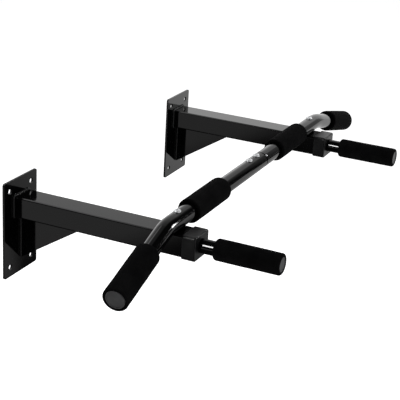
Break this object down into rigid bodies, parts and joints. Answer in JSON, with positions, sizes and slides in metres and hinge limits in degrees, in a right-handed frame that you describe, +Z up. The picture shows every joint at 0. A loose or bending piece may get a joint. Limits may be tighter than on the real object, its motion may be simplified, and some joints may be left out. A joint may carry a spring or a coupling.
{
  "type": "wall-mounted pull up bar",
  "caption": "Wall-mounted pull up bar: bent round bar with foam grips bolted across square-section arms on welded wall brackets, with short parallel-grip handles at the arm ends.",
  "frame": {"origin": "on the wall plane, midway between the two wall plates, at the middle of their height", "axes": "+X along the bar to the right as seen from the room, +Y into the wall, +Z up; the bar stands out towards -Y"},
  "size_m": [1.172, 0.5336, 0.1992],
  "materials": {
    "gloss_black_paint": "gloss black powder paint on steel",
    "painted_weld": "rippled weld bead under the black paint",
    "dark_sleeve_steel": "drawn steel tube with a dark phosphate finish",
    "bright_zinc": "bright zinc-plated fasteners",
    "black_foam": "matt black closed-cell foam",
    "grey_plug_plastic": "grey moulded plastic",
    "black_cap_plastic": "semi-matt black moulded plastic"
  },
  "bodies": {
    "root": {"left_wall_plate": "gloss_black_paint", "left_arm_tube": "gloss_black_paint", "left_gusset": "gloss_black_paint", "left_bracket_weld": "painted_weld", "left_arm_end_plate": "gloss_black_paint", "left_handle_tube": "gloss_black_paint", "left_handle_weld": "painted_weld", "left_arm_end_cap": "black_cap_plastic", "left_handle_grip": "black_foam", "left_handle_plug": "grey_plug_plastic", "left_arm_bolt": "bright_zinc", "left_arm_nut": "bright_zinc", "left_bar_tube": "gloss_black_paint", "left_inner_grip": "black_foam", "left_outer_grip": "black_foam", "left_bar_plug": "grey_plug_plastic", "right_wall_plate": "gloss_black_paint", "right_arm_tube": "gloss_black_paint", "right_gusset": "gloss_black_paint", "right_bracket_weld": "painted_weld", "right_arm_end_plate": "gloss_black_paint", "right_handle_tube": "gloss_black_paint", "right_handle_weld": "painted_weld", "right_arm_end_cap": "black_cap_plastic", "right_handle_grip": "black_foam", "right_handle_plug": "grey_plug_plastic", "right_arm_bolt": "bright_zinc", "right_arm_nut": "bright_zinc", "right_bar_tube": "gloss_black_paint", "right_inner_grip": "black_foam", "right_outer_grip": "black_foam", "right_bar_plug": "grey_plug_plastic", "joint_sleeve": "dark_sleeve_steel", "joint_pin": "bright_zinc", "joint_bolt_1": "bright_zinc", "joint_bolt_2": "bright_zinc", "joint_nut_1": "bright_zinc", "joint_nut_2": "bright_zinc"}
  },
  "joints": []
}
